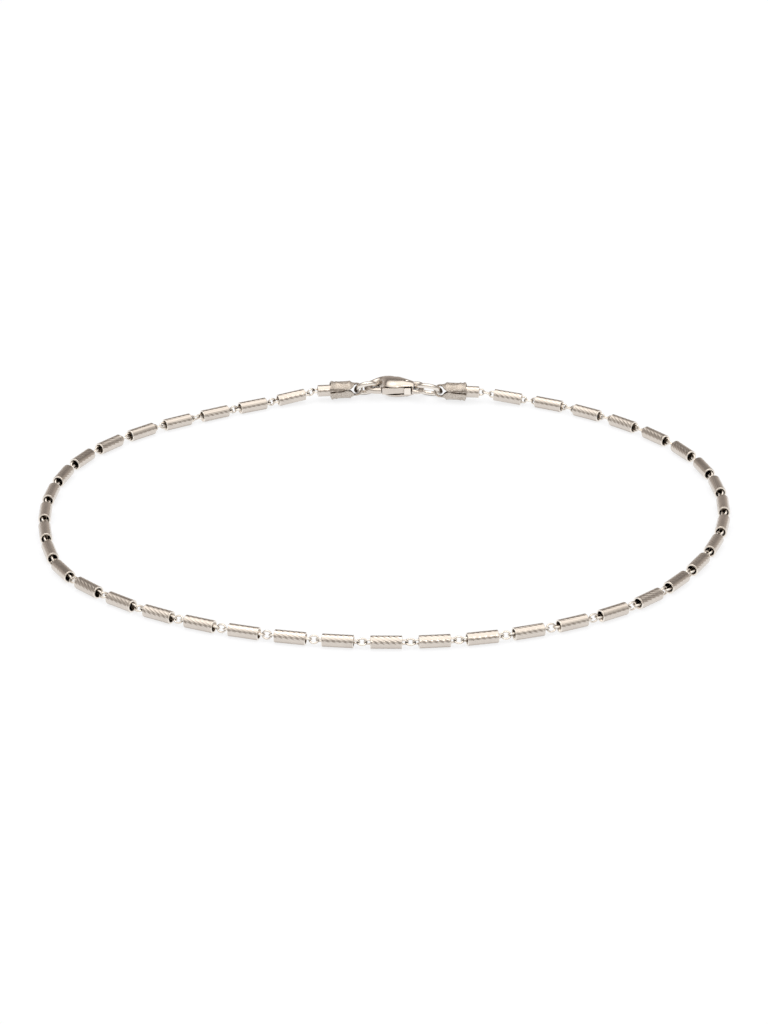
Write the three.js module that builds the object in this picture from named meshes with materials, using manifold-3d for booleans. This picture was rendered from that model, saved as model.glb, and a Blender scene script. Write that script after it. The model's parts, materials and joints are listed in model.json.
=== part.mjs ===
// A payal: a fine silver anklet chain of forty bright-cut tubes strung on small wire links,
// closed by a lobster clasp with a spring lever between two fold-over end caps.
// It lies flat on a surface as one closed loop, clasp at the back.
// Millimetres, +X to the right, +Y to the clasp, +Z up, standing on z = 0.
import * as THREE from 'three';
import { mergeVertices } from 'three/addons/utils/BufferGeometryUtils.js';
import Module from 'manifold-3d';

// Tubes and links of the chain
const tubeLength = 3.8;
const tubeDiameter = 1.58;
const tubeWall = 0.2;
const tubeGap = 1.95;
const linkWire = 0.25;
const linkPlay = 0.09;
const roundLinkLength = 1.3;
const roundLinkWidth = 1.18;
const solderDepth = 0.03;
const endLinkSetback = 0.3;
const chainSlack = 1.25;

// Jump rings
const clawRingDiameter = 3.6;
const eyeRingDiameter = 4.0;
const ringWire = 0.66;
const clawRingLean = 47;
const eyeRingLean = 41;

// Fold-over end caps
const capStrip = 0.3;
const capFoldRadius = 0.7;
const capWaist = 0.5;
const capLeafLength = 3.65;
const capGrip = 0.13;
const capFlare = 0.17;
const capFishtail = 0.3;
const capRoll = 15;
const capTubeSetback = 1.5;

// Lobster clasp
const claspLength = 8.3;
const claspWidth = 3.8;
const claspThickness = 2.5;
const hookWidth = 0.86;
const hookThickness = 0.85;
const ringInClawY = 0.15;
const eyeWire = 0.6;
const ringInEyeY = -0.18;
const eyeGap = 0.16;
const eyeWidth = 3.5;
const leverThickness = 0.9;
const leverWidth = 0.72;
const leverNub = 0.4;
const leverNubLength = 0.95;
const leverBossWall = 0.28;
const leverTravel = 15;
const leverTipAlong = 0.281;
const leverTipSlant = 0.22;
const pivotAlong = 0.71;
const pivotAcross = -0.05;
const leverFaceAcross = 0.384;
const leverNubAcross = 0.26;
const rivetDiameter = 0.6;
const rivetSetIn = 0.05;
const runningGap = 0.1;
const rivetGap = 0.05;

// Where the clasp lies, and how far up the clasp, rings and caps are held
const claspCentre = { x: 1.4, y: 38.1 };
const claspYaw = -1.5;
const closureHeight = 1.43;
const clawRingYaw = 14;
const eyeRingYaw = -14;
const leftCapYaw = 7;
const rightCapYaw = -5;
const slopeLength = 9.5;

// Facets
const tubeSides = 10;
const wireSides = 5;
const linkSteps = 10;
const ringSides = 8;
const ringSteps = 14;
const holeSides = 12;
const eyeSides = 6;
const claspSides = 12;
const weldDistance = 0.004;

// The chain's way round, chosen by hand: plan points from the left cap to the right cap
const route = [
  [-12.6, 35.7], [-23.0, 30.7], [-32.7, 24.4], [-39.6, 16.0], [-42.7, 6.0], [-42.7, -5.5],
  [-39.6, -16.8], [-31.9, -25.3], [-22.0, -31.2], [-11.3, -34.6], [0.0, -35.9], [11.6, -34.8],
  [22.5, -31.0], [32.0, -24.6], [38.9, -15.0], [42.8, -4.0], [43.0, 8.0], [39.5, 18.5],
  [32.2, 27.4], [22.6, 33.9], [17.2, 35.8],
];

// How far the round links stand up along the chain, chosen by hand: share of the chain's
// way from the left cap, and degrees from lying flat
const linkStand = [
  { along: 0.0, stand: 80 }, { along: 0.06, stand: 85 }, { along: 0.11, stand: 25 },
  { along: 0.25, stand: 40 }, { along: 0.37, stand: 10 }, { along: 0.44, stand: 78 },
  { along: 0.51, stand: 20 }, { along: 0.56, stand: 30 }, { along: 0.63, stand: 84 },
  { along: 0.7, stand: 75 }, { along: 0.78, stand: 40 }, { along: 0.93, stand: 15 },
  { along: 1.0, stand: 20 },
];

// The claw's sections from the hook's tip round the nose and the back to the tail.
// along and across place each section in shares of the clasp's length and width;
// broad and deep say how far it has grown from the hook's section to the housing's.
const clawSections = [
  { along: 0.302, across: -0.290, broad: 0, deep: 0 },
  { along: 0.178, across: -0.285, broad: 0, deep: 0 },
  { along: 0.091, across: -0.195, broad: 0, deep: 0 },
  { along: 0.054, across: 0.013, broad: 0, deep: 0 },
  { along: 0.087, across: 0.210, broad: 0, deep: 0 },
  { along: 0.166, across: 0.385, broad: 0, deep: 0.12 },
  { along: 0.272, across: 0.440, broad: 0.1, deep: 0.5 },
  { along: 0.380, across: 0.320, broad: 0.5, deep: 0.88 },
  { along: 0.462, across: 0.130, broad: 0.93, deep: 1 },
  { along: 0.560, across: 0.060, broad: 0.95, deep: 1 },
  { along: 0.670, across: 0.010, broad: 0.6, deep: 0.93 },
  { along: 0.760, across: -0.020, broad: 0.4, deep: 0.76 },
  { along: 0.825, across: -0.020, broad: 0.32, deep: 0.55 },
];
const sectionSquareness = 2.6;

// Each leaf of an end cap from the fold to the fishtail: share of the leaf's length,
// degrees that it wraps to each side, and how far it has opened from fold to tube
const leafStations = [
  { along: 0.16, wrap: 46, open: 0.1 },
  { along: 0.36, wrap: 68, open: 1 },
  { along: 0.8, wrap: 78, open: 1 },
  { along: 1.0, wrap: 75, open: 1 },
];
const foldSteps = 4;
const leafColumns = 6;

const up = new THREE.Vector3(0, 0, 1);
const radians = THREE.MathUtils.degToRad;

const wasm = await Module();
wasm.setup();

// Joining and cutting
function toSolid(geometry) {
  const bare = geometry.index ? geometry.toNonIndexed() : geometry.clone();
  bare.deleteAttribute('normal');
  bare.deleteAttribute('uv');
  const merged = mergeVertices(bare, 1e-5);
  return new wasm.Manifold(new wasm.Mesh({
    numProp: 3,
    vertProperties: new Float32Array(merged.attributes.position.array),
    triVerts: new Uint32Array(merged.index.array),
  }));
}

// Welds corners that a join leaves almost together, and drops the slivers between them
function welded(geometry) {
  const merged = mergeVertices(geometry, weldDistance);
  const faces = new Map();
  for (let i = 0; i < merged.index.count; i += 3) {
    const [a, b, c] = merged.index.array.slice(i, i + 3);
    if (a === b || b === c || c === a) {
      continue;
    }
    const key = [a, b, c].sort((one, other) => one - other).join();
    if (!faces.delete(key)) {
      faces.set(key, [a, b, c]);
    }
  }
  merged.setIndex([...faces.values()].flat());
  return merged;
}

function toGeometry(solid) {
  const mesh = solid.getMesh();
  const geometry = new THREE.BufferGeometry();
  geometry.setAttribute('position', new THREE.BufferAttribute(mesh.vertProperties, 3));
  geometry.setIndex(new THREE.BufferAttribute(mesh.triVerts, 1));
  const clean = welded(geometry);
  clean.computeVertexNormals();
  return clean;
}

// Moves every corner of a simple closed form to its place on a bent one
function reshape(geometry, place) {
  const position = geometry.attributes.position;
  for (let i = 0; i < position.count; i += 1) {
    const corner = new THREE.Vector3().fromBufferAttribute(position, i);
    const moved = place(corner);
    position.setXYZ(i, moved.x, moved.y, moved.z);
  }
  geometry.computeVertexNormals();
  return geometry;
}

// Finishes
const silver = (color, roughness) => (
  new THREE.MeshStandardMaterial({ color, roughness, metalness: 1 }));
const brightCutSilver = silver(0xd9d2c6, 0.25);
const drawnWireSilver = silver(0xe4dfd6, 0.2);
const pressedSilver = silver(0xcfc6b8, 0.35);
const castSilver = silver(0xd6cdbf, 0.22);

// A closed wire loop with round ends and straight sides, its length along X
function wireLoop(length, width, wire, sides, steps) {
  const torus = new THREE.TorusGeometry((width - wire) / 2, -wire / 2, sides, steps);
  const halfStraight = (length - width) / 2;
  return reshape(torus, (corner) => {
    corner.x += Math.sign(corner.x) * halfStraight;
    return corner;
  });
}

// The chain's course: plan points between the two end tubes, with a gentle rise to the caps
const tubeRadius = tubeDiameter / 2;
const foldOuter = capFoldRadius + capStrip;
const noseX = -claspLength / 2;
const eyeCentreX = claspLength / 2 - eyeWire - (ringWire / 2 + eyeGap);
const ringInClawX = noseX - runningGap - foldOuter + clawRingDiameter - ringWire;

function turned(x, y, degrees) {
  return new THREE.Vector2(x, y).rotateAround(new THREE.Vector2(0, 0), radians(degrees));
}

function onClasp(x, y) {
  return turned(x, y, claspYaw).add(new THREE.Vector2(claspCentre.x, claspCentre.y));
}

// side is -1 for the left cap and 1 for the right one; the fold lies one ring away
function closureSide(side, ringStart, ring, capYaw) {
  const outward = turned(side, 0, capYaw);
  const acrossRing = turned(side, 0, ring.yaw);
  const fold = ringStart.clone().addScaledVector(acrossRing, ring.diameter - ringWire);
  const tube = fold.clone().addScaledVector(outward, capTubeSetback + tubeLength / 2);
  const ringCentre = ringStart.clone().add(fold).multiplyScalar(0.5);
  return { side, capYaw, outward, fold, tube, ring, ringCentre };
}

const inClaw = onClasp(ringInClawX, ringInClawY);
const inEye = onClasp(eyeCentreX, ringInEyeY);
const clawRing = { diameter: clawRingDiameter, lean: clawRingLean, yaw: clawRingYaw };
const eyeRing = { diameter: eyeRingDiameter, lean: eyeRingLean, yaw: eyeRingYaw };
const leftSide = closureSide(-1, inClaw, clawRing, leftCapYaw);
const rightSide = closureSide(1, inEye, eyeRing, rightCapYaw);

const planPoints = [leftSide.tube.toArray(), ...route, rightSide.tube.toArray()];
const onFloor = planPoints.map(([x, y]) => new THREE.Vector3(x, y, 0));
const plan = new THREE.CatmullRomCurve3(onFloor, false, 'centripetal');
plan.arcLengthDivisions = 2000;
const chainRun = plan.getLength();
const gapCount = Math.max(2, Math.round(chainRun / (tubeLength + tubeGap)));

// One seat for each tube: its middle and its direction. The end tubes follow their caps.
function seatAt(distance) {
  const centre = plan.getPointAt(THREE.MathUtils.clamp(distance / chainRun, 0, 1));
  const fromEnd = Math.min(distance, chainRun - distance);
  const rise = 1 - THREE.MathUtils.smoothstep(fromEnd, 0, slopeLength);
  centre.z = tubeRadius + (closureHeight - tubeRadius) * rise;
  return centre;
}

// The chain has a little play, and its tubes have slid towards the left cap
const seats = [];
for (let i = 0; i <= gapCount; i += 1) {
  const slid = chainSlack * Math.sin((Math.PI * i) / gapCount);
  const distance = (chainRun * i) / gapCount - slid;
  const centre = seatAt(distance);
  const reach = tubeLength / 2;
  const along = seatAt(distance + reach).sub(seatAt(distance - reach)).normalize();
  seats.push({ centre, along });
}
seats[0].along.set(leftSide.outward.x, leftSide.outward.y, 0);
seats[gapCount].along.set(-rightSide.outward.x, -rightSide.outward.y, 0);

function standAt(gap) {
  const along = (gap + 0.5) / gapCount;
  const next = Math.max(1, linkStand.findIndex((row) => row.along >= along));
  const [a, b] = [linkStand[next - 1], linkStand[next]];
  const share = (along - a.along) / (b.along - a.along);
  return THREE.MathUtils.lerp(a.stand, b.stand, share);
}

// A turn that lays a loop's length along a direction and stands its width up by an angle
function layLoop(along, standDegrees) {
  const flat = new THREE.Vector3().crossVectors(up, along).normalize();
  const upright = new THREE.Vector3().crossVectors(along, flat);
  const stand = radians(standDegrees);
  const width = flat.multiplyScalar(Math.cos(stand)).addScaledVector(upright, Math.sin(stand));
  const normal = new THREE.Vector3().crossVectors(along, width);
  return new THREE.Matrix4().makeBasis(along, width, normal);
}

// Tubes, each lying on one of its facets
const tubeCorner = tubeRadius / Math.cos(Math.PI / tubeSides);

function tubeGeometry() {
  const outer = tubeCorner;
  const inner = tubeCorner - tubeWall;
  const half = tubeLength / 2;
  const profile = [[inner, -half], [outer, -half], [outer, half], [inner, half], [inner, -half]];
  const points = profile.map(([radius, z]) => new THREE.Vector2(radius, z));
  const lathe = new THREE.LatheGeometry(points, tubeSides, Math.PI / tubeSides);
  return lathe.rotateZ(-Math.PI / 2);
}

function tubeMesh(name, seat) {
  const mesh = new THREE.Mesh(tubeGeometry(), brightCutSilver);
  mesh.name = name;
  mesh.position.copy(seat.centre);
  mesh.quaternion.setFromRotationMatrix(layLoop(seat.along, 0));
  return mesh;
}

// The cable chain: a long link through each tube, a round link across each gap, soldered
// where they bear so that the whole string is one solid
function placedLink(length, width, turn, centre) {
  const link = wireLoop(length, width, linkWire, wireSides, linkSteps);
  return toSolid(link.applyMatrix4(turn.setPosition(centre)));
}

function chainGeometry() {
  const longLinkWidth = tubeDiameter - 2 * tubeWall - 2 * linkPlay;
  const bearingSpan = roundLinkLength - 3 * linkWire + 2 * solderDepth;
  const pitch = chainRun / gapCount;
  const reach = (pitch - bearingSpan) / 2;
  const parts = [];
  seats.forEach((seat, i) => {
    const before = standAt(Math.max(0, i - 1));
    const after = standAt(Math.min(gapCount - 1, i));
    const shortened = i === 0 || i === gapCount ? reach - tubeLength / 2 + endLinkSetback : 0;
    const shift = (i === 0 ? 0.5 : -0.5) * shortened;
    const length = 2 * reach + linkWire - shortened;
    const turn = layLoop(seat.along, (before + after) / 2 - 90);
    const centre = seat.centre.clone().addScaledVector(seat.along, shift);
    parts.push(placedLink(length, longLinkWidth, turn, centre));
  });
  for (let gap = 0; gap < gapCount; gap += 1) {
    const from = seats[gap].centre.clone().addScaledVector(seats[gap].along, reach);
    const to = seats[gap + 1].centre.clone().addScaledVector(seats[gap + 1].along, -reach);
    const along = to.clone().sub(from);
    const length = along.length() + 3 * linkWire - 2 * solderDepth;
    const turn = layLoop(along.normalize(), standAt(gap));
    const centre = from.add(to).multiplyScalar(0.5);
    parts.push(placedLink(length, roundLinkWidth, turn, centre));
  }
  return toGeometry(parts.reduce((whole, part) => whole.add(part)));
}

// Jump rings, leaning with the near side up
function ringMesh(name, place) {
  const radius = (place.ring.diameter - ringWire) / 2;
  const torus = new THREE.TorusGeometry(radius, ringWire / 2, ringSides, ringSteps);
  const mesh = new THREE.Mesh(torus, drawnWireSilver);
  mesh.name = name;
  mesh.rotation.set(radians(-place.ring.lean), 0, radians(place.ring.yaw), 'ZXY');
  mesh.position.set(place.ringCentre.x, place.ringCentre.y, closureHeight);
  return mesh;
}

// End caps: one pressed strip, folded round the ring, its two leaves closed on the end tube
function capStations() {
  const gripRadius = tubeRadius + capGrip;
  const waistWrap = THREE.MathUtils.radToDeg(Math.asin(capWaist / 2 / capFoldRadius));
  const leaf = leafStations.map((row, i) => {
    const atTail = i === leafStations.length - 1;
    const radius = THREE.MathUtils.lerp(capFoldRadius, gripRadius, row.open);
    return {
      x: row.along * capLeafLength,
      radius: radius + (atTail ? capFlare : 0),
      wrap: row.wrap,
      notch: atTail ? capFishtail : 0,
    };
  });
  const fold = [];
  for (let i = 0; i <= foldSteps; i += 1) {
    const bend = 90 - (180 * i) / foldSteps;
    fold.push({ x: 0, radius: capFoldRadius, wrap: waistWrap, notch: 0, bend });
  }
  const upper = leaf.map((row) => ({ ...row, bend: 90 })).reverse();
  const lower = leaf.map((row) => ({ ...row, bend: -90 }));
  return [...upper, ...fold, ...lower];
}

function capGeometry() {
  const stations = capStations();
  const strip = new THREE.BoxGeometry(1, 1, 1, stations.length - 1, 1, leafColumns);
  return reshape(strip, (corner) => {
    const station = stations[Math.round((corner.x + 0.5) * (stations.length - 1))];
    const wrap = radians(station.wrap) * corner.z * 2;
    const radius = station.radius + (corner.y > 0 ? capStrip : 0);
    const bend = radians(station.bend);
    const height = radius * Math.cos(wrap);
    const x = station.x - height * Math.cos(bend) - station.notch * (1 - Math.abs(corner.z * 2));
    return new THREE.Vector3(x, radius * Math.sin(wrap), height * Math.sin(bend));
  });
}

function capMesh(name, place) {
  const mesh = new THREE.Mesh(capGeometry(), pressedSilver);
  mesh.name = name;
  const turnRound = place.side < 0 ? 180 : 0;
  mesh.rotation.set(radians(-capRoll * place.side), 0, radians(place.capYaw + turnRound), 'ZXY');
  mesh.position.set(place.fold.x, place.fold.y, closureHeight);
  return mesh;
}

// Clasp: a cast claw, slotted for its lever, with a flat eye at the tail
const pivot = { x: noseX + claspLength * pivotAlong, y: pivotAcross };
const nearEdge = -claspWidth * leverFaceAcross;
const nubEdge = -claspWidth * leverNubAcross;
const slotHeight = leverThickness + 2 * runningGap;
const leverTipX = noseX + leverTipAlong * claspLength;
const bossRadius = rivetDiameter / 2 + leverBossWall;

function sectionSizes(row) {
  return {
    halfWidth: THREE.MathUtils.lerp(hookWidth, claspWidth, row.broad) / 2,
    halfDepth: THREE.MathUtils.lerp(hookThickness, claspThickness, row.deep) / 2,
  };
}

const squared = (value) => Math.sign(value) * Math.abs(value) ** (2 / sectionSquareness);

function clawBlank() {
  const centres = clawSections.map((row) => (
    new THREE.Vector3(noseX + row.along * claspLength, row.across * claspWidth, 0)));
  const last = centres.length - 1;
  const cylinder = new THREE.CylinderGeometry(1, 1, 1, claspSides, last);
  return reshape(cylinder, (corner) => {
    const i = Math.round((corner.y + 0.5) * last);
    const along = centres[Math.min(i + 1, last)].clone().sub(centres[Math.max(i - 1, 0)]).normalize();
    const across = new THREE.Vector3().crossVectors(along, up);
    const { halfWidth, halfDepth } = sectionSizes(clawSections[i]);
    return centres[i].clone()
      .addScaledVector(across, squared(corner.x) * halfWidth)
      .addScaledVector(up, squared(corner.z) * halfDepth);
  });
}

// A flat piece of a given thickness, centred on the claw's middle plane
function plate(shape, thickness) {
  const extrusion = { depth: thickness, bevelEnabled: false, curveSegments: 4 };
  const flat = new THREE.ExtrudeGeometry(shape, extrusion);
  return flat.translate(0, 0, -thickness / 2);
}

function pinGeometry(radius, length) {
  const pin = new THREE.CylinderGeometry(radius, radius, length, holeSides);
  return pin.rotateX(Math.PI / 2).translate(pivot.x, pivot.y, 0);
}

// The slot is the room that the lever sweeps as it turns inwards. Its front also trims the
// hook's tip on the same slant as the lever's.
function slotShape() {
  const rear = pivot.x + bossRadius + runningGap;
  const farSide = pivot.y + bossRadius + runningGap;
  const front = leverTipX - runningGap;
  const openSide = -claspWidth;
  const tipTravel = Math.sin(radians(leverTravel)) * (pivot.x - leverTipX);
  const inner = nearEdge + leverWidth;
  const sweep = inner + tipTravel + runningGap;
  const shape = new THREE.Shape();
  shape.moveTo(front, inner);
  shape.lineTo(front + leverTipSlant, nearEdge);
  shape.lineTo(front + leverTipSlant, openSide);
  shape.lineTo(rear, openSide);
  shape.lineTo(rear, pivot.y + bossRadius / 2);
  shape.lineTo(pivot.x + bossRadius / 2, farSide);
  shape.lineTo(pivot.x - bossRadius, farSide);
  shape.lineTo(front, Math.max(farSide, sweep));
  shape.closePath();
  return shape;
}

function claspGeometry() {
  const holeRadius = rivetDiameter / 2 + rivetGap;
  const eyeLength = ringWire + 2 * eyeGap + 2 * eyeWire;
  const eye = wireLoop(eyeWidth, eyeLength, eyeWire, eyeSides, holeSides)
    .rotateZ(Math.PI / 2).translate(eyeCentreX, 0, 0);
  const solid = toSolid(clawBlank())
    .add(toSolid(eye))
    .subtract(toSolid(plate(slotShape(), slotHeight)))
    .subtract(toSolid(pinGeometry(holeRadius, claspWidth)));
  return toGeometry(solid);
}

function leverShape() {
  const inner = nearEdge + leverWidth;
  const nubRear = pivot.x + bossRadius;
  const nubFront = nubRear - leverNubLength;
  const shape = new THREE.Shape();
  shape.moveTo(leverTipX + leverTipSlant, nearEdge);
  shape.lineTo(nubFront, nubEdge);
  shape.lineTo(nubFront, nubEdge - leverNub);
  shape.lineTo(nubRear, nubEdge - leverNub);
  shape.lineTo(pivot.x + bossRadius, pivot.y);
  shape.absarc(pivot.x, pivot.y, bossRadius, 0, Math.PI * 0.75, false);
  shape.lineTo(pivot.x - 2.4 * bossRadius, inner);
  shape.lineTo(leverTipX, inner);
  shape.closePath();
  return shape;
}

function leverGeometry() {
  const hole = toSolid(pinGeometry(rivetDiameter / 2 + rivetGap, claspWidth));
  return toGeometry(toSolid(plate(leverShape(), leverThickness)).subtract(hole));
}

function claspGroup() {
  const group = new THREE.Group();
  const pieces = [
    ['clasp_body', claspGeometry(), castSilver],
    ['clasp_lever', leverGeometry(), castSilver],
    ['clasp_rivet', pinGeometry(rivetDiameter / 2, claspThickness - 2 * rivetSetIn), drawnWireSilver],
  ];
  for (const [name, geometry, material] of pieces) {
    const mesh = new THREE.Mesh(geometry, material);
    mesh.name = name;
    group.add(mesh);
  }
  group.position.set(claspCentre.x, claspCentre.y, closureHeight);
  group.rotation.z = radians(claspYaw);
  return group;
}

// The anklet
const anklet = new THREE.Group();
const chain = new THREE.Mesh(chainGeometry(), drawnWireSilver);
chain.name = 'cable_chain';
anklet.add(chain);
anklet.add(tubeMesh('end_tube_left', seats[0]));
for (let i = 1; i < gapCount; i += 1) {
  anklet.add(tubeMesh(`tube_${String(i).padStart(2, '0')}`, seats[i]));
}
anklet.add(tubeMesh('end_tube_right', seats[gapCount]));
anklet.add(capMesh('end_cap_left', leftSide));
anklet.add(capMesh('end_cap_right', rightSide));
anklet.add(ringMesh('jump_ring_left', leftSide));
anklet.add(ringMesh('jump_ring_right', rightSide));
anklet.add(claspGroup());

// The origin is at the middle of the whole, on the floor
const whole = new THREE.Box3().setFromObject(anklet, true);
const middle = whole.getCenter(new THREE.Vector3());
anklet.position.set(-middle.x, -middle.y, -whole.min.z);

export default anklet;
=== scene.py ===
"""A fine silver payal, lying closed on a pale table with its clasp at the back.

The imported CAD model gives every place. Each piece is modelled in millimetres and set down in
metres, in the order in which the anklet is put together.
"""

import json
import math

import bmesh
import bpy
import numpy as np
from mathutils import Matrix, Vector


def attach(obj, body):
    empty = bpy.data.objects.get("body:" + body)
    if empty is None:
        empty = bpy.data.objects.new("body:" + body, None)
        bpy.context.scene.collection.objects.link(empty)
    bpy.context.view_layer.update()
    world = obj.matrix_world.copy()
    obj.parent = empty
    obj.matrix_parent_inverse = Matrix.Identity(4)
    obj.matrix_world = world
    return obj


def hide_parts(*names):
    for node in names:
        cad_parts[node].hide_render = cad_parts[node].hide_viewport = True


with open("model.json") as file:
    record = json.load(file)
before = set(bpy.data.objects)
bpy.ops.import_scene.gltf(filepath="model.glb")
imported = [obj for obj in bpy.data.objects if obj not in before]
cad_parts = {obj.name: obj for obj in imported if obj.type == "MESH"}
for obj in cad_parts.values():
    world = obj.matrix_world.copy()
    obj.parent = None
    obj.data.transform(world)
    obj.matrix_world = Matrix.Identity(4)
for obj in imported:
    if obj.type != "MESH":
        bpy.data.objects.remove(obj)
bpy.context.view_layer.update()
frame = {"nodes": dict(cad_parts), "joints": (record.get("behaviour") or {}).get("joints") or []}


# Wire chain
# The string of the anklet is drawn silver wire, bent into loops and soldered shut. A long loop
# runs through each tube and a round one joins it to the next across the gap.

MM = 0.001
CHAIN_BODY = "chain_and_claw"
WIRE = 0.25
LONG_LINK_WIDTH = 1.0
ROUND_LINK_LENGTH = 1.3
ROUND_LINK_WIDTH = 1.18
END_LINK_OVERHANG = 0.3
LINK_BITE = 0.03
LINK_OVERLAP = 3 * WIRE - 2 * LINK_BITE
QUARTER_TURN = 90
TUBE_LENGTH = 3.8

# How far the round links stand up: share of the way round, degrees from lying flat
LINK_STAND = (
    (0.0, 80), (0.06, 85), (0.11, 25), (0.25, 40), (0.37, 10), (0.44, 78), (0.51, 20),
    (0.56, 30), (0.63, 84), (0.7, 75), (0.78, 40), (0.93, 15), (1.0, 20),
)

free_tubes = sorted(name for name in frame["nodes"] if name.startswith("tube_"))
strung = ["end_tube_left", *free_tubes, "end_tube_right"]


def axes_of(name, digits=4):
    """The middle of a CAD node and its three axes, the longest first, in millimetres.

    Corners that agree to some digits count as one.
    """
    found = np.array([v.co for v in frame["nodes"][name].data.vertices]) / MM
    corners = np.unique(found.round(digits), axis=0)
    middle = corners.mean(0)
    spread = np.linalg.svd(corners - middle, full_matrices=False)[2]
    return Vector(middle), [Vector(axis) for axis in spread]


# Where each tube lies and the way it runs, all turned to run from the left cap to the right one
seats = []
for name in strung:
    middle, axes = axes_of(name)
    seats.append([middle, axes[0]])
for number, seat in enumerate(seats):
    before = seats[max(number - 1, 0)][0]
    after = seats[min(number + 1, len(seats) - 1)][0]
    if seat[1].dot(after - before) < 0:
        seat[1].negate()


def laid(along, stand, middle):
    """The placing that lays X along the chain and stands Y up from flat by some degrees."""
    flat = Vector((0, 0, 1)).cross(along).normalized()
    upright = along.cross(flat)
    width = flat * math.cos(math.radians(stand)) + upright * math.sin(math.radians(stand))
    turn = Matrix((along, width, along.cross(width))).transposed().to_4x4()
    return Matrix.Translation(middle) @ turn


def between_rows(rows, around, closed=False):
    """Faces between rows of corners that each go once round a piece.

    A closed piece also has faces from its last row to its first.
    """
    faces = []
    for row in range(rows if closed else rows - 1):
        here = row * around
        ahead = (row + 1) % rows * around
        for i in range(around):
            beside = (i + 1) % around
            faces.append((here + i, here + beside, ahead + beside, ahead + i))
    return faces


def wire_loop(length, width, wire, steps=44, sides=12):
    """Corners and faces of a closed loop of round wire, its length along X."""
    radius = (width - wire) / 2
    straight = (length - width) / 2
    corners = []
    for step in range(steps):
        turn = 2 * math.pi * (step + 0.5) / steps
        outward = Vector((math.cos(turn), math.sin(turn), 0))
        centre = outward * radius + Vector((math.copysign(straight, outward.x), 0, 0))
        for side in range(sides):
            round_it = 2 * math.pi * side / sides
            corners.append(centre + outward * (wire / 2 * math.cos(round_it))
                           + Vector((0, 0, wire / 2 * math.sin(round_it))))
    return corners, between_rows(steps, sides, closed=True)


def piece(name, corners, faces, place=None):
    """A smooth-shaded mesh object from corners in millimetres, its place baked into the mesh."""
    placed = [(place @ Vector(corner) if place else Vector(corner)) * MM for corner in corners]
    mesh = bpy.data.meshes.new(name)
    mesh.from_pydata(placed, [], faces)
    mesh.validate()
    shape = bmesh.new()
    shape.from_mesh(mesh)
    bmesh.ops.recalc_face_normals(shape, faces=shape.faces)
    shape.to_mesh(mesh)
    shape.free()
    mesh.shade_smooth()
    made = bpy.data.objects.new(name, mesh)
    bpy.context.scene.collection.objects.link(made)
    return made


def stand_at(share):
    """How far a link stands up at some share of the way round."""
    return float(np.interp(share, *zip(*LINK_STAND)))


links = []
gaps = len(seats) - 1
neighbours = list(zip(seats, seats[1:]))
pitch = sum((right - left).length for (left, _), (right, _) in neighbours) / gaps
reach = (pitch - ROUND_LINK_LENGTH + LINK_OVERLAP) / 2
end_shorter = reach - TUBE_LENGTH / 2 + END_LINK_OVERHANG
# A long link lies across the round links beside it. The first and last end inside their caps.
for number, (middle, along) in enumerate(seats):
    before = stand_at((max(0, number - 1) + 0.5) / gaps)
    after = stand_at((min(gaps - 1, number) + 0.5) / gaps)
    shorter = end_shorter if number in (0, gaps) else 0
    shift = shorter / 2 if number == 0 else -shorter / 2
    place = laid(along, (before + after) / 2 - QUARTER_TURN, middle + along * shift)
    links.append((place, wire_loop(2 * reach + WIRE - shorter, LONG_LINK_WIDTH, WIRE)))
for gap, ((left, leaving), (right, arriving)) in enumerate(neighbours):
    start = left + leaving * reach
    end = right - arriving * reach
    place = laid((end - start).normalized(), stand_at((gap + 0.5) / gaps), (start + end) / 2)
    links.append((place, wire_loop((end - start).length + LINK_OVERLAP, ROUND_LINK_WIDTH, WIRE)))

corners, faces = [], []
for place, (loop_corners, loop_faces) in links:
    first = len(corners)
    corners.extend(place @ corner for corner in loop_corners)
    faces.extend(tuple(first + i for i in face) for face in loop_faces)
wire_links = piece("wire_links", corners, faces)


def srgb(hex_colour):
    """An sRGB hex colour as linear red, green, blue and alpha."""
    shares = [int(hex_colour[i:i + 2], 16) / 255 for i in (1, 3, 5)]
    linear = [s / 12.92 if s <= 0.04045 else ((s + 0.055) / 1.055) ** 2.4 for s in shares]
    return (*linear, 1.0)


def add(tree, kind, inputs=None, **settings):
    """Adds a shader node with its settings. An input is a value or another node's output."""
    node = tree.nodes.new("ShaderNode" + kind)
    for name, value in settings.items():
        setattr(node, name, value)
    for name, value in (inputs or {}).items():
        if isinstance(value, bpy.types.NodeSocket):
            tree.links.new(value, node.inputs[name])
        else:
            node.inputs[name].default_value = value
    return node


def new_material(name):
    """An empty material and its node tree."""
    material = bpy.data.materials.new(name)
    material.use_nodes = True
    material.node_tree.nodes.clear()
    return material, material.node_tree


def shaded_in_corners(tree, bright, shade_colour, corner, shut, clear):
    """A bright metal's colour with brown painted shade in its corners, where other metal is near.

    Corners are looked for within some millimetres. The painted shade is full where the open share
    of the space round a point falls to shut, and gone where it rises to clear.
    """
    space = add(tree, "AmbientOcclusion", {"Distance": corner * MM}, samples=8)
    unshaded = add(tree, "MapRange", {"Value": space.outputs["AO"], "From Min": shut,
                                   "From Max": clear, "To Min": 0.0, "To Max": 1.0})
    colour = add(tree, "Mix", {"Factor": unshaded.outputs["Result"], "A": srgb(shade_colour),
                               "B": bright}, data_type="RGBA")
    return colour.outputs["Result"]


def polished(tree, colour, film, smooth, dull, relief=None):
    """Ends a material as bare metal, its roughness moving from smooth to dull with a film."""
    rough = add(tree, "MapRange", {"Value": film.outputs["Fac"], "To Min": smooth,
                                   "To Max": dull})
    inputs = {"Base Color": colour, "Metallic": 1.0, "Roughness": rough.outputs["Result"]}
    if relief:
        inputs["Normal"] = relief.outputs["Normal"]
    shader = add(tree, "BsdfPrincipled", inputs)
    add(tree, "OutputMaterial", {"Surface": shader.outputs["BSDF"]})
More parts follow.
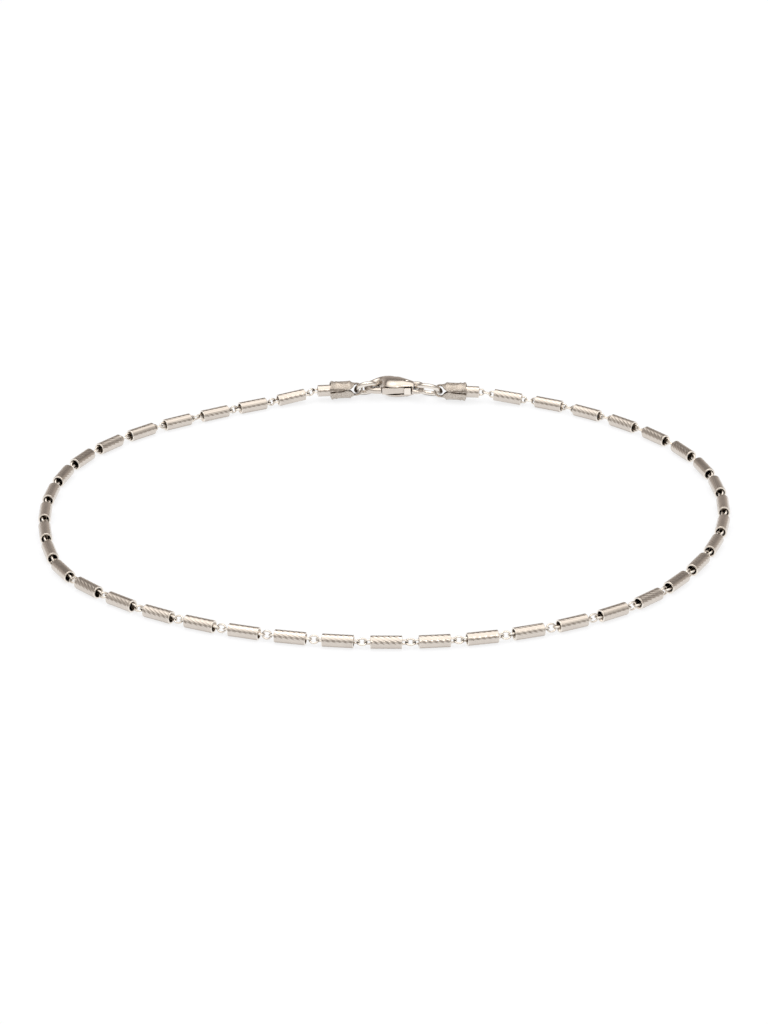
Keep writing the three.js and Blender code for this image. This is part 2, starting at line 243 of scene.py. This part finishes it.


# Drawn silver wire: bright, its polish uneven in patches about a millimetre across, with brown
# painted shade in the corners of the links, where they shade each other. The draw plate's lines
# are too fine to be drawn.
drawn_wire, tree = new_material("drawn_silver_wire")
where = add(tree, "TexCoord")
film = add(tree, "TexNoise", {"Vector": where.outputs["Object"], "Scale": 0.9 / MM, "Detail": 3.0})
colour = shaded_in_corners(tree, srgb("#EEE7DE"), "#4A403A", corner=0.5, shut=0.25, clear=0.75)
polished(tree, colour, film, smooth=0.14, dull=0.26)

wire_links.data.materials.append(drawn_wire)
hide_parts("cable_chain")
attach(wire_links, CHAIN_BODY)


# Bright-cut tubes
# Each tube is a short length of thin seamless silver tube. A turning diamond tool has cut
# shallow slanting flutes round it, and its two ends are burnished over.

TUBE_RADIUS = 0.79
TUBE_WALL = 0.2
TUBE_EDGE = 0.06
MOUTH_STEPS = 4
MOUTH_REACH = 1.1 * TUBE_EDGE
FLUTES = 16
FLUTE_DEPTH = 0.022
SHALLOWEST_CUT = 0.3
FLUTE_SLANT = 24
FLUTE_START = 1.5 * TUBE_EDGE
FLUTE_FADE = 0.15
CORNERS_IN_FLUTE = 6
ROWS_ALONG = 26
GOLDEN_ANGLE = 137.5
GOLDEN_SHARE = 0.618


def tube_profile(cut):
    """Rows along the tube and back through its bore: x, radius and depth of the flutes."""
    half = TUBE_LENGTH / 2
    inner = TUBE_RADIUS - TUBE_WALL
    mouth = [(half - TUBE_EDGE * (1 - math.sin(turn)),
              TUBE_RADIUS - TUBE_EDGE * (1 - math.cos(turn)))
             for turn in np.linspace(math.pi / 2, 0, MOUTH_STEPS)]
    rows = [(-x, radius, 0) for x, radius in mouth]
    for x in np.linspace(FLUTE_START - half, half - FLUTE_START, ROWS_ALONG):
        fade = min(1, max(0, (half - abs(x) - TUBE_EDGE) / FLUTE_FADE))
        rows.append((x, TUBE_RADIUS, cut * fade))
    rows += [(x, radius, 0) for x, radius in reversed(mouth)]
    rows += [(half, inner + TUBE_EDGE / 2, 0), (half - TUBE_EDGE / 2, inner, 0)]
    rows += [(-half + TUBE_EDGE / 2, inner, 0), (-half, inner + TUBE_EDGE / 2, 0)]
    return rows


def bright_cut_tube(cut):
    """Corners and faces of one tube along X, its columns running along flutes of some depth."""
    around = FLUTES * CORNERS_IN_FLUTE
    twist = math.tan(math.radians(FLUTE_SLANT)) / TUBE_RADIUS
    rows = tube_profile(cut)
    corners = []
    for x, radius, depth in rows:
        for column in range(around):
            across = 2 * (column % CORNERS_IN_FLUTE) / CORNERS_IN_FLUTE - 1
            out = radius - depth * (1 - across * across)
            turn = 2 * math.pi * column / around + twist * x
            corners.append(Vector((x, out * math.cos(turn), out * math.sin(turn))))
    return corners, between_rows(len(rows), around, closed=True)


# Bright-cut silver: the diamond tool leaves a near mirror with fine chatter lines across each
# flute. They are about 0.02 mm apart, so a grain of about 0.1 mm is drawn in their place.
bright_cut, tree = new_material("bright_cut_silver")
where = add(tree, "TexCoord")
each = add(tree, "ObjectInfo")
chatter = add(tree, "TexNoise", {"Vector": where.outputs["Object"], "W": each.outputs["Random"],
                                 "Scale": 4 / MM, "Detail": 2.0}, noise_dimensions="4D")
film = add(tree, "TexNoise", {"Vector": where.outputs["Object"], "W": each.outputs["Random"],
                              "Scale": 0.7 / MM, "Detail": 4.0}, noise_dimensions="4D")
bright = add(tree, "Mix", {"Factor": film.outputs["Fac"], "A": srgb("#CBC2B9"),
                           "B": srgb("#E0D8CF")}, data_type="RGBA")
# Painted shade: the colour turns a pale brown in the bore and where the links come near.
colour = shaded_in_corners(tree, bright.outputs["Result"], "#A39384", corner=0.6, shut=0.3, clear=0.7)
bump = add(tree, "Bump", {"Height": chatter.outputs["Fac"], "Strength": 0.25,
                          "Distance": 0.01 * MM})
polished(tree, colour, film, smooth=0.18, dull=0.3, relief=bump)

# Burnished silver: the mouths are rubbed smooth. Their colour is paler than the tube's, a painted
# highlight that keeps them the brightest part of a tube.
burnish_and_highlight, tree = new_material("burnished_silver_painted_highlight")
shader = add(tree, "BsdfPrincipled", {"Base Color": srgb("#F4EDE4"), "Metallic": 1.0,
                                      "Roughness": 0.3})
add(tree, "OutputMaterial", {"Surface": shader.outputs["BSDF"]})


def on_mouth(face, tube_corners):
    """Whether a face lies on one of the tube's two burnished mouths, which carry the painted
    highlight.
    """
    along = [tube_corners[i].x for i in face]
    at_end = min(abs(x) for x in along) > TUBE_LENGTH / 2 - MOUTH_REACH
    return at_end and min(along) * max(along) > 0


# No two tubes lie with the same flute uppermost: each is rolled on by the golden angle. Nor
# are they cut equally deep: the depths spread evenly between the shallowest and the full cut.
for number, (middle, along) in enumerate(seats):
    place = laid(along, number * GOLDEN_ANGLE, middle)
    cut_share = SHALLOWEST_CUT + (1 - SHALLOWEST_CUT) * (number * GOLDEN_SHARE % 1)
    corners, faces = bright_cut_tube(FLUTE_DEPTH * cut_share)
    node = strung[number]
    tube = piece(node.replace("tube", "bright_tube"), corners, faces, place)
    tube.data.materials.append(bright_cut)
    tube.data.materials.append(burnish_and_highlight)
    for polygon, face in zip(tube.data.polygons, faces):
        polygon.material_index = int(on_mouth(face, corners))
    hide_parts(node)
    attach(tube, CHAIN_BODY)


# End caps
# Each cap is one strip of pressed sheet, folded round its jump ring. Its two leaves are closed
# on the end tube from above and below, and their far corners flare out in a fishtail.

CAP_SHEET = 0.2
CAP_FOLD = 0.7
CAP_WAIST = 0.5
CAP_LEAF = 3.65
CAP_GRIP = TUBE_RADIUS + 0.13
CAP_FLARE = 0.17
CAP_FISHTAIL = 0.3
CAP_EDGE = 0.05
CAP_ROLL = 15
CAP_SETBACK = 1.5
LEAF_ROWS = 40
FOLD_ROWS = 20
CAP_COLUMNS = 28

# The oval leaf pressed into each side. Its place, length and width are shares of the strip's
# length and half width, and its ridge and vein have heights in millimetres.
OVAL_MIDDLE = 0.5
OVAL_LENGTH = 0.3
OVAL_WIDTH = 0.62
RIDGE_HEIGHT = 0.065
RIDGE_AT = 0.9
RIDGE_SPREAD = 0.16
VEIN_HEIGHT = 0.045
VEIN_SPREAD = 0.1

# A leaf from the fold to the fishtail: share of its length, degrees wrapped to each side, how
# far it has opened from fold to tube, share of the flare and of the fishtail
LEAF = (
    (0.0, 20.9, 0.0, 0.0, 0.0),
    (0.07, 30.0, 0.02, 0.0, 0.0),
    (0.14, 62.0, 0.3, 0.0, 0.0),
    (0.25, 82.0, 1.0, 0.0, 0.0),
    (0.58, 79.0, 1.0, 0.0, 0.0),
    (0.8, 78.0, 1.0, 0.1, 0.2),
    (1.0, 75.0, 1.0, 1.0, 1.0),
)


def smooth_table(table, steps):
    """Rows of a table filled in along a smooth curve, its first column even."""
    rows = np.array(table, float)
    keys = rows[:, 0]
    slopes = np.gradient(rows, keys, axis=0)
    filled = []
    for value in np.linspace(keys[0], keys[-1], steps):
        i = min(max(int(np.searchsorted(keys, value)) - 1, 0), len(keys) - 2)
        step = keys[i + 1] - keys[i]
        t = (value - keys[i]) / step
        rise = 3 * t ** 2 - 2 * t ** 3
        leave = (t ** 3 - 2 * t ** 2 + t) * step
        arrive = (t ** 3 - t ** 2) * step
        filled.append((1 - rise) * rows[i] + leave * slopes[i]
                      + rise * rows[i + 1] + arrive * slopes[i + 1])
    return np.array(filled)


def cap_rows():
    """The strip from the upper fishtail round the fold to the lower one.

    A row holds its share of the leaf, x, radius, wrap, fishtail and the bend round the fold.
    """
    leaf = []
    for share, wrap, opened, flare, tail in smooth_table(LEAF, LEAF_ROWS):
        radius = CAP_FOLD + (CAP_GRIP - CAP_FOLD) * min(max(opened, 0), 1)
        radius += CAP_FLARE * max(flare, 0)
        leaf.append((share, share * CAP_LEAF, radius, wrap, CAP_FISHTAIL * max(tail, 0)))
    waist = math.degrees(math.asin(CAP_WAIST / 2 / CAP_FOLD))
    upper = [(*row, 90.0) for row in leaf[:0:-1]]
    fold = [(0.0, 0.0, CAP_FOLD, waist, 0.0, bend) for bend in np.linspace(90, -90, FOLD_ROWS)]
    lower = [(*row, -90.0) for row in leaf[1:]]
    return upper + fold + lower


def cap_corner(row, across, depth):
    """A corner of the strip: across from -1 to 1, depth from the inner face outwards."""
    x, radius, wrap, tail, bend = row[1:]
    turn = math.radians(wrap) * across
    out = radius + depth
    height = out * math.cos(turn)
    tilt = math.radians(bend)
    return Vector((x - height * math.cos(tilt) - tail * (1 - abs(across)),
                   out * math.sin(turn), height * math.sin(tilt)))


def leaf_relief(share, across):
    """How high the pressed leaf stands out, from the ridge round it and the vein down it."""
    reach = math.hypot((share - OVAL_MIDDLE) / OVAL_LENGTH, across / OVAL_WIDTH)
    ridge = RIDGE_HEIGHT * math.exp(-((reach - RIDGE_AT) / RIDGE_SPREAD) ** 2)
    vein = VEIN_HEIGHT * math.exp(-(across / VEIN_SPREAD) ** 2) if reach < RIDGE_AT else 0.0
    return ridge + vein


def cap_mesh():
    """Corners and faces of the folded strip, its inner face first in each row."""
    rows = cap_rows()
    corners = []
    columns = np.linspace(-1, 1, CAP_COLUMNS + 1)
    for row in rows:
        corners += [cap_corner(row, across, 0.0) for across in columns]
        corners += [cap_corner(row, across, CAP_SHEET + leaf_relief(row[0], across))
                    for across in columns[::-1]]
    around = 2 * len(columns)
    faces = between_rows(len(rows), around)
    last = (len(rows) - 1) * around
    for j in range(len(columns) - 1):
        mirror = around - 1 - j
        faces.append((j, mirror, mirror - 1, j + 1))
        faces.append((last + j, last + j + 1, last + mirror - 1, last + mirror))
    return corners, faces


def applied(made):
    """Turns the modifiers of a piece into mesh."""
    graph = bpy.context.evaluated_depsgraph_get()
    mesh = bpy.data.meshes.new_from_object(made.evaluated_get(graph))
    made.modifiers.clear()
    made.data = mesh
    mesh.shade_smooth()


def soften(made, width, segments=2, angle=40):
    """Rounds the sharp edges of a piece, those that turn by more than some degrees."""
    rounding = made.modifiers.new("rounding", "BEVEL")
    rounding.width = width * MM
    rounding.segments = segments
    rounding.limit_method = "ANGLE"
    rounding.angle_limit = math.radians(angle)
    applied(made)


# Pressed silver sheet: the die gives the leaves a fine stipple of raised dots, about 0.1 mm
# apart. A little tarnish lies between the dots and breaks up the shine.
pressed, tree = new_material("pressed_silver_sheet")
where = add(tree, "TexCoord")
stipple = add(tree, "TexVoronoi", {"Vector": where.outputs["Object"], "Scale": 9 / MM})
film = add(tree, "TexNoise", {"Vector": where.outputs["Object"], "Scale": 0.9 / MM, "Detail": 4.0})
dots = add(tree, "MapRange", {"Value": stipple.outputs["Distance"], "From Min": 0.1,
                              "From Max": 0.6, "To Min": 1.0, "To Max": 0.0})
bright = add(tree, "Mix", {"Factor": dots.outputs["Result"], "A": srgb("#B5ABA0"),
                           "B": srgb("#F3EDE5")}, data_type="RGBA")
# Painted shade: the colour turns brown where the ring and the tube come near the sheet.
colour = shaded_in_corners(tree, bright.outputs["Result"], "#4F443D", corner=0.6, shut=0.25, clear=0.75)
bump = add(tree, "Bump", {"Height": dots.outputs["Result"], "Strength": 0.6,
                          "Distance": 0.03 * MM})
polished(tree, colour, film, smooth=0.36, dull=0.5, relief=bump)


def set_cap(side):
    """A cap lies with its tube: its fold is one setback from the tube's mouth."""
    seat, way = (seats[0], 1) if side == "left" else (seats[-1], -1)
    middle, away = seat[0], seat[1] * way
    fold = middle - away * (CAP_SETBACK + TUBE_LENGTH / 2)
    made = piece(f"folded_cap_{side}", *cap_mesh(), laid(away, way * CAP_ROLL, fold))
    soften(made, CAP_EDGE)
    made.data.materials.append(pressed)
    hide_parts(f"end_cap_{side}")
    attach(made, CHAIN_BODY)


set_cap("left")
set_cap("right")


# Jump rings
# Two rings of thicker drawn wire, soldered shut, hold the clasp to the caps. They lean with
# their near side up, because each passes through a fold that lies flat.

RING_DIAMETER = {"left": 3.6, "right": 4.0}
RING_WIRE = 0.66


def set_ring(side):
    """A ring lies as its CAD node does, square to that node's shortest axis."""
    middle, axes = axes_of(f"jump_ring_{side}")
    normal = axes[2]
    along = Vector((1, 0, 0)) - normal * normal.x
    along.normalize()
    turn = Matrix((along, normal.cross(along), normal)).transposed().to_4x4()
    place = Matrix.Translation(middle) @ turn
    diameter = RING_DIAMETER[side]
    loop = wire_loop(diameter, diameter, RING_WIRE, steps=72, sides=24)
    made = piece(f"wire_ring_{side}", *loop, place)
    made.data.materials.append(drawn_wire)
    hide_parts(f"jump_ring_{side}")
    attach(made, CHAIN_BODY)


set_ring("left")
set_ring("right")


# Clasp body
# The lobster claw is cast in one piece with its flat tail eye, slotted on its middle plane for
# the lever and tumbled until its edges are round.

CLASP_LENGTH = 8.3
CLASP_WIDTH = 3.8
CLASP_THICKNESS = 2.5
CLASP_TURN = -1.5
HOOK_WIDTH = 0.86
HOOK_THICKNESS = 0.85
EYE_WIRE = 0.6
EYE_WIDTH = 3.5
EYE_GAP = 0.16
EYE_LENGTH = RING_WIRE + 2 * EYE_GAP + 2 * EYE_WIRE
RUNNING_GAP = 0.1
PIVOT = Vector((1.743, -0.05, 0))
RIVET_RADIUS = 0.3
RIVET_GAP = 0.05

# The claw's cross section is a little squarer than an ellipse, whose exponent is 2
SQUARE_ACROSS = 2.4
SQUARE_THROUGH = 2.2

# Sections of the claw from the hook's tip round the nose and back to the tail: place along and
# across in shares of length and width, growth in width and in depth from hook to housing
CLAW = (
    (0.302, -0.290, 0.0, 0.0), (0.178, -0.285, 0.0, 0.0), (0.091, -0.195, 0.0, 0.0),
    (0.054, 0.013, 0.0, 0.0), (0.087, 0.210, 0.0, 0.0), (0.166, 0.385, 0.0, 0.12),
    (0.272, 0.440, 0.1, 0.5), (0.380, 0.320, 0.5, 0.88), (0.462, 0.130, 0.93, 1.0),
    (0.560, 0.060, 0.95, 1.0), (0.670, 0.010, 0.6, 0.93), (0.760, -0.020, 0.4, 0.76),
    (0.825, -0.020, 0.32, 0.55),
)
# A section stands square to the line between those this many steps behind and ahead of it,
# which keeps the skin from creasing where the claw turns.
SECTION_SPAN = 7

# The lever's sizes, which its slot in the claw follows
LEVER_THICKNESS = 0.9
LEVER_WIDTH = 0.72
LEVER_TIP = -1.818
LEVER_SLANT = 0.22
LEVER_TRAVEL = 15
NEAR_EDGE = -1.459
BOSS = 0.58

# Cutters go clear through the claw, and the slot is open beyond its near side
CUTTER_DEPTH = 4.0
SLOT_OPEN = -4.0

nose = -CLASP_LENGTH / 2
pivot_world = Vector(frame["joints"][0]["pos_m"]) / MM
clasp_turn = Matrix.Rotation(math.radians(CLASP_TURN), 4, "Z")
clasp_place = Matrix.Translation(pivot_world) @ clasp_turn @ Matrix.Translation(-PIVOT)
clasp_place.translation *= MM

front = LEVER_TIP - RUNNING_GAP
inner_edge = NEAR_EDGE + LEVER_WIDTH
far_side = PIVOT.y + BOSS + RUNNING_GAP
swing = math.sin(math.radians(LEVER_TRAVEL)) * (PIVOT.x - LEVER_TIP)
slot_outline = (
    (front, inner_edge),
    (front + LEVER_SLANT, NEAR_EDGE),
    (front + LEVER_SLANT, SLOT_OPEN),
    (PIVOT.x + BOSS + RUNNING_GAP, SLOT_OPEN),
    (PIVOT.x + BOSS + RUNNING_GAP, PIVOT.y + BOSS / 2),
    (PIVOT.x + BOSS / 2, far_side),
    (PIVOT.x - BOSS, far_side),
    (front, max(far_side, inner_edge + swing + RUNNING_GAP)),
)


def claw_mesh(sides=40, steps=90):
    """The claw as one skin over its sections, with round ends to its cross section."""
    numbered = [(i / (len(CLAW) - 1), *row) for i, row in enumerate(CLAW)]
    rows = smooth_table(numbered, steps)
    centres = [Vector((nose + r[1] * CLASP_LENGTH, r[2] * CLASP_WIDTH, 0)) for r in rows]
    corners = []
    for i, row in enumerate(rows):
        ahead = centres[min(i + SECTION_SPAN, steps - 1)] - centres[max(i - SECTION_SPAN, 0)]
        across = ahead.normalized().cross(Vector((0, 0, 1)))
        half_width = (HOOK_WIDTH + (CLASP_WIDTH - HOOK_WIDTH) * max(row[3], 0)) / 2
        half_depth = (HOOK_THICKNESS + (CLASP_THICKNESS - HOOK_THICKNESS) * max(row[4], 0)) / 2
        for side in range(sides):
            turn = 2 * math.pi * side / sides
            c, s = math.cos(turn), math.sin(turn)
            out = math.copysign(abs(c) ** (2 / SQUARE_ACROSS), c) * half_width
            rise = math.copysign(abs(s) ** (2 / SQUARE_THROUGH), s) * half_depth
            corners.append(centres[i] + across * out + Vector((0, 0, rise)))
    faces = between_rows(steps, sides)
    faces.append(tuple(range(sides)))
    faces.append(tuple((steps - 1) * sides + j for j in reversed(range(sides))))
    return corners, faces


def plate(outline, thickness):
    """A flat plate on the clasp's middle plane, from its outline."""
    count = len(outline)
    corners = [Vector((x, y, -thickness / 2)) for x, y in outline]
    corners += [Vector((x, y, thickness / 2)) for x, y in outline]
    faces = [tuple(reversed(range(count))), tuple(range(count, 2 * count))]
    return corners, faces + between_rows(2, count)


def disc(centre, radius, steps=32):
    """The outline of a round plate."""
    return [(centre.x + radius * math.cos(2 * math.pi * i / steps),
             centre.y + radius * math.sin(2 * math.pi * i / steps)) for i in range(steps)]


def combine(made, other, operation):
    """Joins another solid to a piece or cuts it away, and removes the other."""
    step = made.modifiers.new(operation, "BOOLEAN")
    step.operation = operation
    step.solver = "EXACT"
    step.object = other
    applied(made)
    bpy.data.objects.remove(other)


def drill_for_rivet(made):
    """Cuts the rivet's hole through a piece."""
    hole = piece("hole", *plate(disc(PIVOT, RIVET_RADIUS + RIVET_GAP), CUTTER_DEPTH))
    combine(made, hole, "DIFFERENCE")


def tumbled(made, grain, rounds):
    """Wears a piece's edges as tumbling does: a skin of even grain, then rounds of smoothing."""
    skin = made.modifiers.new("skin", "REMESH")
    skin.mode = "VOXEL"
    skin.voxel_size = grain * MM
    skin.adaptivity = 0
    wear = made.modifiers.new("wear", "SMOOTH")
    wear.iterations = rounds
    wear.factor = 0.5
    applied(made)


# Cast silver: tumbled in steel shot to a soft bright polish, a little warmer and greyer than
# the wire, with brown painted shade in the slot, and dimples of about 0.3 mm that the shot leaves.
cast, tree = new_material("cast_tumbled_silver")
where = add(tree, "TexCoord")
film = add(tree, "TexNoise", {"Vector": where.outputs["Object"], "Scale": 0.5 / MM, "Detail": 5.0})
dimples = add(tree, "TexNoise", {"Vector": where.outputs["Object"], "Scale": 3 / MM, "Detail": 2.0})
bright = add(tree, "Mix", {"Factor": film.outputs["Fac"], "A": srgb("#CFC5BB"),
                           "B": srgb("#E3DBD2")}, data_type="RGBA")
colour = shaded_in_corners(tree, bright.outputs["Result"], "#64564C", corner=0.8, shut=0.2, clear=0.7)
bump = add(tree, "Bump", {"Height": dimples.outputs["Fac"], "Strength": 0.15,
                          "Distance": 0.02 * MM})
polished(tree, colour, film, smooth=0.18, dull=0.32, relief=bump)

claw = piece("cast_claw", *claw_mesh())
eye_x = CLASP_LENGTH / 2 - EYE_WIRE - (RING_WIRE / 2 + EYE_GAP)
loop_corners, loop_faces = wire_loop(EYE_WIDTH, EYE_LENGTH, EYE_WIRE, steps=64, sides=20)
eye = piece("eye", [Vector((eye_x - c.y, c.x, c.z)) for c in loop_corners], loop_faces)
combine(claw, eye, "UNION")
slot = piece("slot", *plate(slot_outline, LEVER_THICKNESS + 2 * RUNNING_GAP))
combine(claw, slot, "DIFFERENCE")
drill_for_rivet(claw)
tumbled(claw, grain=0.035, rounds=24)
claw.data.materials.append(cast)
claw.data.transform(clasp_place)
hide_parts("clasp_body")
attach(claw, CHAIN_BODY)


# Lever
# A small cast lever turns on the rivet and closes the claw. Its thumb nub stands out on the
# near side, and its tip meets the hook on a slant.

LEVER_BODY = "lever"
NUB_RISE = 0.4
NUB_LENGTH = 0.95
NUB_EDGE = -0.988
NUB_BLEND = 0.04
NUB_SHOULDER = 0.02
BOSS_CORNERS = 10
BOSS_START = 0.2
BOSS_END = math.pi * 0.75
BOSS_RUN_OUT = 2.4 * BOSS

nub_rear = PIVOT.x + BOSS
nub_front = nub_rear - NUB_LENGTH
lever_outline = [
    (LEVER_TIP + LEVER_SLANT, NEAR_EDGE),
    (nub_front, NUB_EDGE),
    (nub_front, NUB_EDGE - NUB_RISE),
    (nub_rear, NUB_EDGE - NUB_RISE),
    (nub_rear, PIVOT.y),
]
lever_outline += [(PIVOT.x + BOSS * math.cos(t), PIVOT.y + BOSS * math.sin(t))
                  for t in np.linspace(BOSS_START, BOSS_END, BOSS_CORNERS)]
lever_outline += [(PIVOT.x - BOSS_RUN_OUT, inner_edge), (LEVER_TIP, inner_edge)]
lever = piece("cast_lever", *plate(lever_outline, LEVER_THICKNESS))
drill_for_rivet(lever)
tumbled(lever, grain=0.028, rounds=40)
# The thumb keeps the nub rubbed, and it is given the tubes' paler mouth colour as a painted
# highlight.
lever.data.materials.append(cast)
lever.data.materials.append(burnish_and_highlight)
for face in lever.data.polygons:
    x, y = face.center.x / MM, face.center.y / MM
    face.material_index = int(y < NUB_EDGE + NUB_BLEND and x > nub_front - NUB_SHOULDER)
lever.data.transform(clasp_place)
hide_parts("clasp_lever")
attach(lever, LEVER_BODY)


# Rivet
# The lever's pin is a length of drawn wire, set through both walls of the claw and riveted
# over, its edges rounded by the hammer.

PIN_SIDES = 32
PIN_EDGE = 0.08
PIN_SINK = 0.05
pin_half = CLASP_THICKNESS / 2 - PIN_SINK
pin_rings = ((RIVET_RADIUS - PIN_EDGE, -pin_half), (RIVET_RADIUS, PIN_EDGE - pin_half),
             (RIVET_RADIUS, pin_half - PIN_EDGE), (RIVET_RADIUS - PIN_EDGE, pin_half))
corners = [Vector((x, y, z)) for radius, z in pin_rings
           for x, y in disc(PIVOT, radius, PIN_SIDES)]
faces = [tuple(reversed(range(PIN_SIDES))), tuple(range(3 * PIN_SIDES, 4 * PIN_SIDES))]
rivet = piece("wire_rivet", corners, faces + between_rows(len(pin_rings), PIN_SIDES))
rivet.data.materials.append(drawn_wire)
rivet.data.transform(clasp_place)
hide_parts("clasp_rivet")
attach(rivet, CHAIN_BODY)


# Table and light
# The anklet lies on a lit white acrylic table under a broad soft light. The room behind it is
# darker and gives the silver its grey edges.

TABLE_HALF = 900

# The light from behind and from in front blend over this share to each side of the middle
ROOM_SEAM = 0.3

table = piece("table", [(-TABLE_HALF, -TABLE_HALF, 0), (TABLE_HALF, -TABLE_HALF, 0),
                        (TABLE_HALF, TABLE_HALF, 0), (-TABLE_HALF, TABLE_HALF, 0)],
              [(0, 1, 2, 3)])
# Lit acrylic: a matt white sheet with lamps below, so that shadows on it are faint.
acrylic, tree = new_material("lit_white_acrylic")
shader = add(tree, "BsdfPrincipled", {"Base Color": srgb("#7C7F84"), "Roughness": 0.8,
                                      "Emission Color": srgb("#FFFFFF"),
                                      "Emission Strength": 0.78})
add(tree, "OutputMaterial", {"Surface": shader.outputs["BSDF"]})
table.data.materials.append(acrylic)

# The room's light by height, from the table's edge to overhead: sine of the height, and linear
# red, green and blue, because overhead it is brighter than a hex colour can say
ROOM_BEHIND = ((0.0, (0.54, 0.49, 0.455)), (0.3, (0.52, 0.47, 0.435)), (0.45, (0.3, 0.27, 0.25)),
               (0.58, (0.19, 0.17, 0.157)), (0.7, (0.24, 0.216, 0.2)), (0.82, (1.5, 1.45, 1.39)),
               (1.0, (1.6, 1.55, 1.49)))
ROOM_IN_FRONT = ((0.0, (0.5, 0.47, 0.44)), (0.3, (0.36, 0.335, 0.315)), (0.6, (0.9, 0.87, 0.83)),
                 (0.85, (1.5, 1.45, 1.39)), (1.0, (1.6, 1.55, 1.49)))


def room_light(tree, height, stops):
    """A colour ramp of the room's light by height."""
    ramp = add(tree, "ValToRGB", {"Fac": height})
    steps = ramp.color_ramp.elements
    steps.remove(steps[1])
    steps[0].position = stops[0][0]
    steps[0].color = (*stops[0][1], 1)
    for position, colour in stops[1:]:
        steps.new(position).color = (*colour, 1)
    return ramp.outputs["Color"]


room = bpy.data.worlds.new("studio")
room.use_nodes = True
room.node_tree.nodes.clear()
tree = room.node_tree
where = add(tree, "TexCoord")
parts = add(tree, "SeparateXYZ", {"Vector": where.outputs["Generated"]})
behind = add(tree, "MapRange", {"Value": parts.outputs["Y"], "From Min": -ROOM_SEAM,
                                "From Max": ROOM_SEAM})
light = add(tree, "Mix", {"Factor": behind.outputs["Result"],
                          "A": room_light(tree, parts.outputs["Z"], ROOM_IN_FRONT),
                          "B": room_light(tree, parts.outputs["Z"], ROOM_BEHIND)},
            data_type="RGBA")
sky = add(tree, "Background", {"Color": light.outputs["Result"], "Strength": 1.0})
add(tree, "OutputWorld", {"Surface": sky.outputs["Background"]})
bpy.context.scene.world = room


def soft_light(name, place, size, power):
    """A small warm softbox, in metres and watts, turned to the middle of the table."""
    lamp = bpy.data.lights.new(name, "AREA")
    lamp.shape = "RECTANGLE"
    lamp.size, lamp.size_y = size
    lamp.energy = power
    lamp.color = srgb("#FFF6EC")[:3]
    made = bpy.data.objects.new(name, lamp)
    made.location = place
    made.rotation_euler = (-Vector(place)).to_track_quat("-Z", "Y").to_euler()
    bpy.context.scene.collection.objects.link(made)


soft_light("strip_light_over", (-0.2, 0.1, 1.0), (0.4, 0.1), 0.7)
soft_light("strip_light_front", (0.3, -0.7, 0.7), (0.3, 0.1), 0.5)

# The camera stands off at the photograph's distance, about 25 degrees above the table.
camera = bpy.data.objects.new("camera", bpy.data.cameras.new("camera"))
bpy.context.scene.collection.objects.link(camera)
camera.data.lens = 131.5
camera.data.sensor_width = 36.0
camera.data.clip_start = 0.01
camera.location = (-0.000129, -0.431945, 0.2059)
look_at = Vector((-0.000129, -0.001845, 0.00079))
camera.rotation_euler = (look_at - camera.location).to_track_quat("-Z", "Y").to_euler()
bpy.context.scene.camera = camera
bpy.context.scene.view_settings.view_transform = "Standard"
